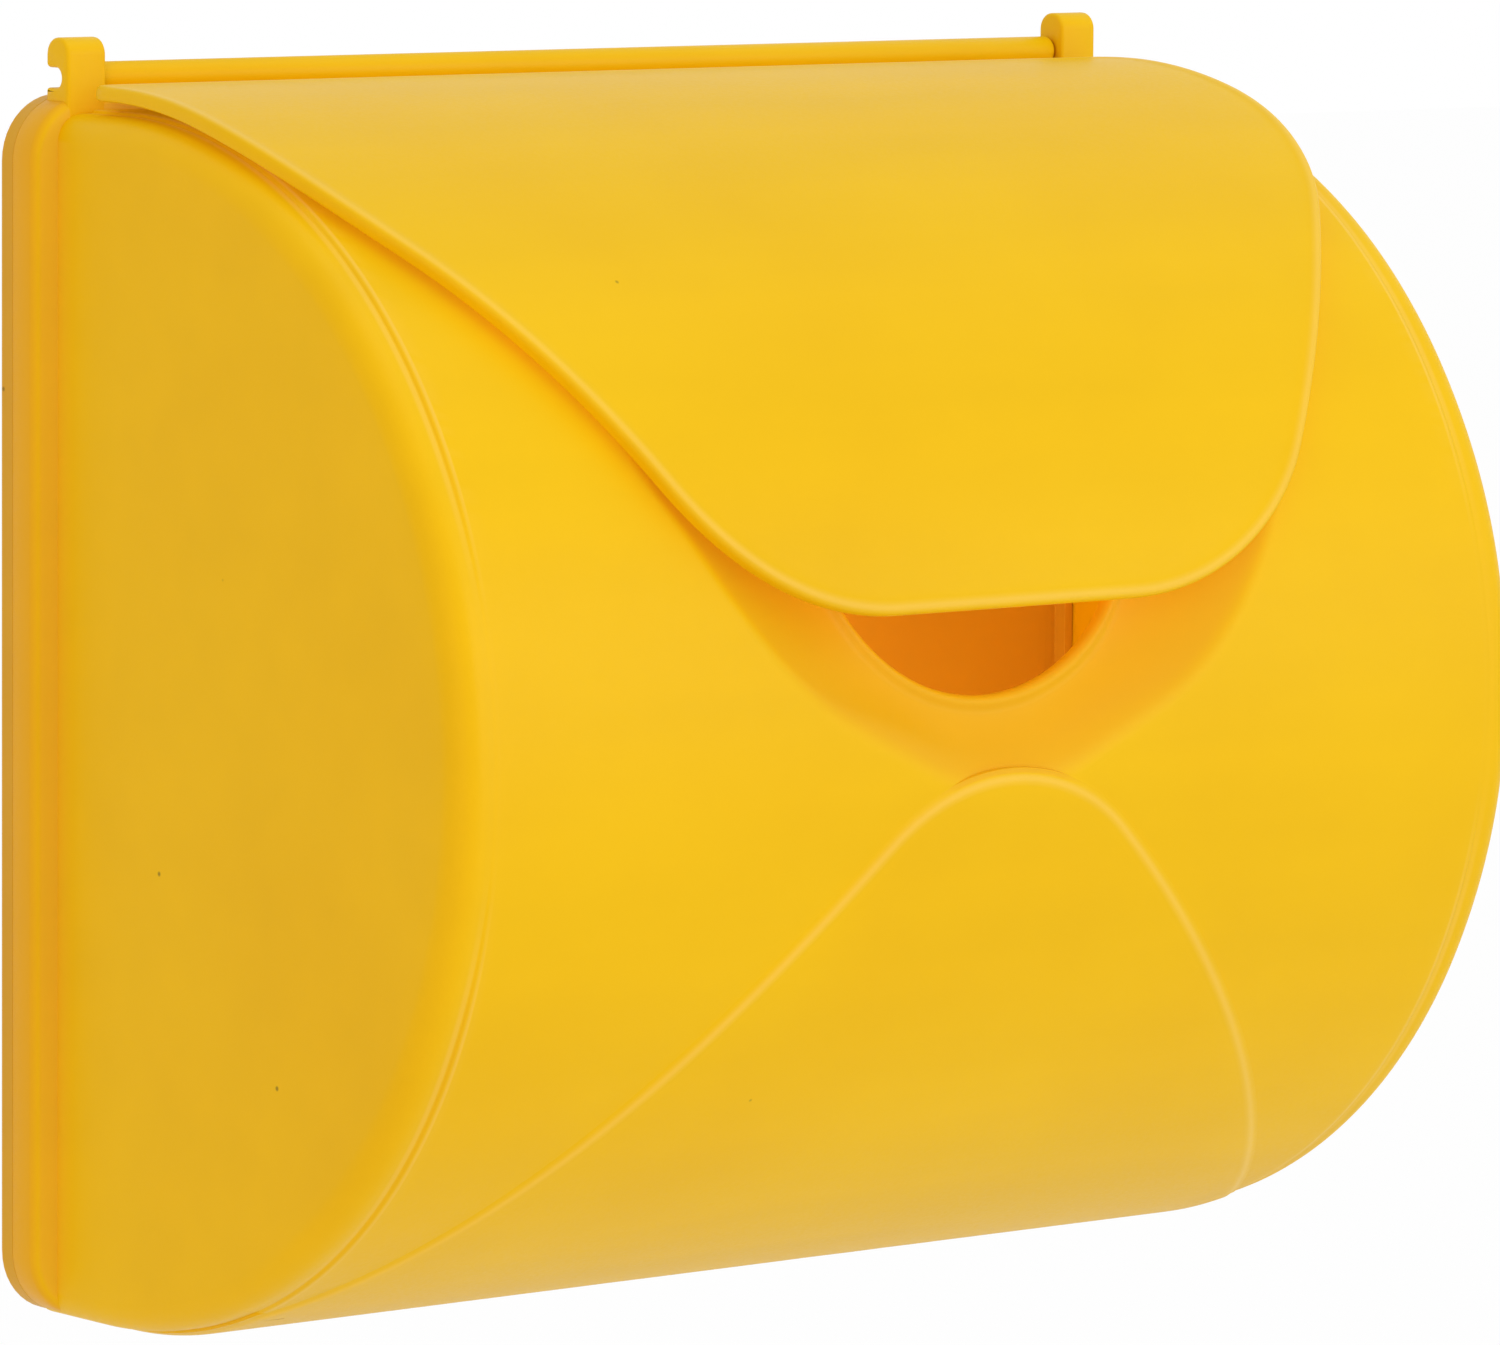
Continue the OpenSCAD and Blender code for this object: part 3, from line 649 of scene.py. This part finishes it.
def hingeHooks():
    # side profile (y, z) carried across the hook's width, drawn in at both ends for a soft edge
    h = hook
    front, back, top, topRound = h["frontY"], h["backY"], h["top"], h["topRound"]
    low, high, deep = h["notchZ"] - h["notchR"], h["notchZ"] + h["notchR"], h["notchY"] - h["notchR"]
    notchRound = h["notchR"] - h["notchFlat"]
    profile = roundedPath([(front, h["footZ"], 0), (back, h["footZ"], 0), (back, low, h["shelfRound"]),
                           (deep, low, notchRound), (deep, high, notchRound), (back, high, h["lipRound"]),
                           (back, top, topRound), (front, top, topRound)], h["arcStep"])
    steps = np.linspace(0, quarterTurn, h["bevelPoints"])
    offset = [(h["bevel"] * (1 - math.sin(s)), h["bevel"] * (1 - math.cos(s))) for s in steps]
    across = offset + [(d, h["width"] - x) for d, x in offset[::-1]]
    surfaces, caps = [], []
    for side in (-1, 1):
        loops = [np.insert(inset(profile, d), 0, side * (h["innerX"] + x), axis=1) for d, x in across]
        wall, ends = tube(loops, side)
        surfaces.append(wall)
        caps += ends
    return makePiece("hingeHooks", surfaces, caps)


fit(hingeHooks(), "case", "front_shell", shellPlastic)

# Screw bosses inside the shell, each with a web to the wall beside it.
boss = {
    # x, z and the degrees that the web points to
    "places": [(-114, -70, 180), (-114, 70, 180), (114, -70, 0), (114, 70, 0), (0, -100, 270), (0, 100, 90)],
    "radius": 4.5, "bore": 1.55, "fromY": -6.5, "toY": -24.5, "boreY": -21.5,
    "chamfer": 0.3, "round": 0.6, "roundIn": 0.18,   # the middle of the rounding lies in by this much
    "webStart": 1.2, "webReach": 10.4, "webHalf": 1.25, "webRound": 0.4,
    "points": 49,
}


def screwBosses():
    # a boss is a profile (r, y) turned about its own axis, and its web a rounded bar that runs into the wall
    b = boss
    radius, bore, start, end, chamfer = b["radius"], b["bore"], b["fromY"], b["toY"], b["chamfer"]
    profile = [(0, b["boreY"]), (bore, b["boreY"]), (bore, start - chamfer), (bore + chamfer, start),
               (radius - chamfer, start), (radius, start - chamfer), (radius, end + b["round"]),
               (radius - b["roundIn"], end + b["roundIn"]), (radius - b["round"], end), (0, end)]
    across, y, up = turned(profile, b["points"])
    bar = rectangleLoop((start - end) / 2, -b["webHalf"], b["webHalf"], b["webRound"])
    barY = (start + end) / 2 + bar[:, 0]
    surfaces, caps = [], []
    for x, z, facing in b["places"]:
        c, s = math.cos(math.radians(facing)), math.sin(math.radians(facing))
        web, ends = tube([np.stack([x + c * d - s * bar[:, 1], barY, z + s * d + c * bar[:, 1]], -1)
                          for d in (bore + b["webStart"], b["webReach"])], -1)
        surfaces += [surface(np.stack([x + across, y, z + up], -1)), web]
        caps += ends
    return makePiece("screwBosses", surfaces, caps)


fit(screwBosses(), "case", "front_shell", shellPlastic)

# The lid: a curved plate with a soft raised border, hung from a barrel with a pin at each end.
lid = {
    "halfWidth": 123.5,
    "tipArc": 23.8, "tipHalf": 59.0, "tipRound": 57.0,
    "sideArc": 122.25, "sideRound": 86.0,
    "rearY": -14.88, "rearRound": 6.0,
    # (inset, r) from the underside round the edge, over the border to the plate's top
    "profile": [(5.5, 114.0), (0.9, 114.0), (0.4, 114.08), (0.1, 114.3), (0.0, 114.7), (0.0, 115.5),
                (0.06, 116.0), (0.22, 116.42), (0.5, 116.7), (0.9, 116.84), (1.4, 116.88), (2.0, 116.82),
                (2.6, 116.7), (3.2, 116.61), (4.0, 116.58), (5.5, 116.6)],
    # painted highlight along the crest of the border
    "paintedLight": [0, 0, 0, 0, 0, 0, 0, 0, 0.2, 0.7, 0.8, 0.3, 0, 0, 0, 0],
    # the outline is cut into four sides beside the tip, and this far in from the rear corners
    "tipMark": (46, 33), "rearMark": 1.8,
    "arcStep": 1.5, "pathPoints": 4000, "sidePoints": [121, 111, 121, 111],
}
barrel = {
    "y": -6.25, "z": 117.8, "radius": 2.8, "half": 114.6,
    "bevel": 0.4, "bevelIn": 0.12,          # the middle of the bevel lies in by this much
    "tabFront": -16.6, "tabUnder": 115.05, "tabTop": 116.45,
    "pinRadius": 1.8, "pinEnd": 120.2, "pinChamfer": 0.5, "pinRoot": 1,
    "roundPoints": 61, "pinPoints": 41,
}


def lidPlate():
    # the outline is a rounded path: a narrow tip, slanted sides and small rear corners
    hw, rear = lid["halfWidth"], arcAtY(lid["rearY"])
    rightHalf = [(lid["tipHalf"], lid["tipArc"], lid["tipRound"]), (hw, lid["sideArc"], lid["sideRound"]),
                 (hw, rear, lid["rearRound"])]
    path = roundedPath(rightHalf + [(-x, a, r) for x, a, r in rightHalf[::-1]], lid["arcStep"])
    path = resample(closed(path), lid["pathPoints"])[:-1]
    (tipX, tipArc), back = lid["tipMark"], lid["rearMark"]
    marks = [(-tipX, tipArc), (tipX, tipArc), (hw - back, rear - back), (back - hw, rear - back)]
    loop = fourSides(path, marks, lid["sidePoints"])
    return curvedPlate("lidPlate", loop, lid["sidePoints"], lid["profile"], np.array(lid["paintedLight"])[:, None])


def lidBarrel():
    # side profile (y, z) of the barrel with its tab, carried across the lid; pins turned about the hinge
    b = barrel
    half, bevel, bevelIn, pinR, pinEnd = b["half"], b["bevel"], b["bevelIn"], b["pinRadius"], b["pinEnd"]
    meet = math.asin((b["tabTop"] - b["z"]) / b["radius"])
    turn = np.linspace(-quarterTurn, math.pi - meet, b["roundPoints"])
    roundBack = np.stack([b["y"] + b["radius"] * np.cos(turn), b["z"] + b["radius"] * np.sin(turn)], -1)
    profile = np.concatenate([[(b["tabFront"], b["tabTop"]), (b["tabFront"], b["tabUnder"])], roundBack])
    across = [(bevel, -half), (bevelIn, bevelIn - half), (0.0, bevel - half)]
    across += [(d, -x) for d, x in across[::-1]]
    bar, caps = tube([np.insert(inset(profile, d), 0, x, axis=1) for d, x in across])
    pin = [(0, half - b["pinRoot"]), (pinR, half - b["pinRoot"]), (pinR, pinEnd - b["pinChamfer"]),
           (pinR - b["pinChamfer"], pinEnd), (0, pinEnd)]
    back, along, up = turned(pin, b["pinPoints"])
    pins = [surface(np.stack([side * along, b["y"] + back, b["z"] + up], -1)) for side in (-1, 1)]
    return makePiece("lidBarrel", [bar, *pins], caps)


lidPieces = [lidPlate(), lidBarrel()]
for lidPiece in lidPieces:
    fit(lidPiece, "lid", "lid", lidPlastic)

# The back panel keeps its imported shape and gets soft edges. The screws stay as packed.
panel = {
    "edgeRound": 0.3, "edgeSteps": 2,
    "edgeAngle": 50,        # degrees; steeper edges are rounded
    "flatAngle": 0.5,       # degrees; flatter edges are dissolved
    "weld": 1e-6,           # metres
}


def softPanel():
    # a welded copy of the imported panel, with its sharp edges rounded by a bevel
    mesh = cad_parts["back_panel"].data.copy()
    mesh.name = "backPanel"
    mesh.materials.clear()
    work = bmesh.new()
    work.from_mesh(mesh)
    bmesh.ops.remove_doubles(work, verts=work.verts, dist=panel["weld"])
    flat = math.radians(panel["flatAngle"])
    bmesh.ops.dissolve_limit(work, angle_limit=flat, verts=work.verts, edges=work.edges)
    work.to_mesh(mesh)
    work.free()
    piece = addObject("backPanel", mesh)
    bevel = piece.modifiers.new("soft edges", "BEVEL")
    bevel.width, bevel.segments = panel["edgeRound"] / 1000, panel["edgeSteps"]
    bevel.limit_method, bevel.angle_limit = "ANGLE", math.radians(panel["edgeAngle"])
    bevel.harden_normals = True
    shadeSmooth(mesh)
    return piece


fit(softPanel(), "case", "back_panel", shadedPanelPlastic)
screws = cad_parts["panel_screws"]
screws.data.materials.clear()
screws.data.materials.append(screwZinc)
print("dressed the panel and its screws")

# Camera at the photograph's place: right, up and back of the view, and the eye in millimetres.
view = {
    "right": (0.7792, -0.6269, 0.0083), "up": (0.0614, 0.0895, 0.9942), "back": (-0.6239, -0.7740, 0.1082),
    "eye": (-1129.1, -1457.5, 201.2), "lens": 231.0, "sensor": 36.0,
    "clip": (0.05, 50),     # metres
}


def standing(right, up, back, place):
    # matrix of a camera or lamp: its three axes and its place as columns
    return Matrix([list(row) for row in zip(right, up, back, place)] + [[0, 0, 0, 1]])


cameraData = bpy.data.cameras.new("camera")
cameraData.lens, cameraData.sensor_width, cameraData.sensor_fit = view["lens"], view["sensor"], "HORIZONTAL"
cameraData.clip_start, cameraData.clip_end = view["clip"]
camera = addObject("camera", cameraData)
camera.matrix_world = standing(view["right"], view["up"], view["back"], [c / 1000 for c in view["eye"]])
bpy.context.scene.camera = camera

# A pale studio: a broad key from the right front, a warm fill from the left, a soft top light
# and an even surround.
studio = {
    "floorZ": -300.0, "floorHalf": 6000.0, "floorColour": "#f4f4f2",
    "floorGlow": 0.97,      # share of plain white that the camera and the reflections see
    "white": "#ffffff",
    "surround": 0.71,       # strength
    "aim": (0, -0.07, 0),   # metres
    # name, place and size in metres, power in watts, colour
    "lamps": [("key", (0.9, -1.7, 0.4), 1.2, 8.0, "#ffffff"),
              ("fill", (-1.5, -1.0, 0.1), 0.8, 4.9, "#ffb474"),
              ("top", (0.15, -0.55, 1.6), 1.4, 4.6, "#ffffff")],
    # what the thin walls let in: places, size, power, colour
    "through": ([(-0.07, -0.075, -0.03), (0.03, -0.075, -0.03)], 0.04, 0.12, "#fff6e6"),
}


def paleFloor():
    # a square that is matt to the lamps and nearly white to the camera and to reflections
    h, z = studio["floorHalf"], studio["floorZ"]
    piece = makePiece("floor", [surface(np.array([[[-h, -h, z], [h, -h, z]], [[-h, h, z], [h, h, z]]]))])
    material, tree = blankMaterial("pale studio floor")
    path = addNode(tree, "ShaderNodeLightPath")
    seen = addNode(tree, "ShaderNodeMath", {"operation": "MAXIMUM"},
                   {0: path.outputs["Is Camera Ray"], 1: path.outputs["Is Glossy Ray"]})
    share = addNode(tree, "ShaderNodeMath", {"operation": "MULTIPLY", 1: studio["floorGlow"]},
                    {0: seen.outputs[0]})
    matt = addNode(tree, "ShaderNodeBsdfDiffuse", {"Color": linear(studio["floorColour"])})
    glow = addNode(tree, "ShaderNodeEmission", {"Color": linear(studio["white"]), "Strength": 1.0})
    mixed = addNode(tree, "ShaderNodeMixShader",
                    links={0: share.outputs[0], 1: matt.outputs[0], 2: glow.outputs[0]})
    addNode(tree, "ShaderNodeOutputMaterial", links={"Surface": mixed.outputs[0]})
    piece.data.materials.append(material)


def paleWorld():
    # plain white to the camera and to reflections, and weaker as light
    world = bpy.data.worlds.new("surround")
    bpy.context.scene.world = world
    world.use_nodes = True
    tree = world.node_tree
    tree.nodes.clear()
    path = addNode(tree, "ShaderNodeLightPath")
    seen = addNode(tree, "ShaderNodeMath", {"operation": "MAXIMUM"},
                   {0: path.outputs["Is Camera Ray"], 1: path.outputs["Is Glossy Ray"]})
    white = addNode(tree, "ShaderNodeMath", {"operation": "MAXIMUM"},
                    {0: seen.outputs[0], 1: path.outputs["Is Transmission Ray"]})
    level = addNode(tree, "ShaderNodeMapRange", {"To Min": studio["surround"], "To Max": 1.0},
                    {"Value": white.outputs[0]})
    sky = addNode(tree, "ShaderNodeBackground", {"Color": linear(studio["white"])},
                  {"Strength": level.outputs[0]})
    addNode(tree, "ShaderNodeOutputWorld", links={"Surface": sky.outputs[0]})


def softLamps():
    # the lid is thin enough to let the lamps' light pass, so it only shades the surround
    letsPass = bpy.data.collections.new("lets light pass")
    for piece in lidPieces:
        letsPass.objects.link(piece)
    for entry in letsPass.collection_objects:
        entry.light_linking.link_state = "EXCLUDE"
    for name, place, size, power, colour in studio["lamps"]:
        data = bpy.data.lights.new(name, "AREA")
        data.shape, data.size, data.energy, data.color = "DISK", size, power, linear(colour)[:3]
        lamp = addObject(name, data)
        back = np.array(place, float) - np.array(studio["aim"])
        back /= np.linalg.norm(back)
        side = np.cross([0, 0, 1], back)
        side /= np.linalg.norm(side)
        lamp.matrix_world = standing(side, np.cross(back, side), back, place)
        lamp.light_linking.blocker_collection = letsPass
    places, size, power, colour = studio["through"]
    for place in places:
        data = bpy.data.lights.new("through the walls", "POINT")
        data.shadow_soft_size, data.energy, data.color = size, power, linear(colour)[:3]
        lamp = addObject("through the walls", data)
        lamp.location, lamp.visible_camera, lamp.visible_glossy = place, False, False


paleFloor()
paleWorld()
softLamps()
bpy.context.scene.view_settings.view_transform = "Standard"
print("set the camera and the studio")
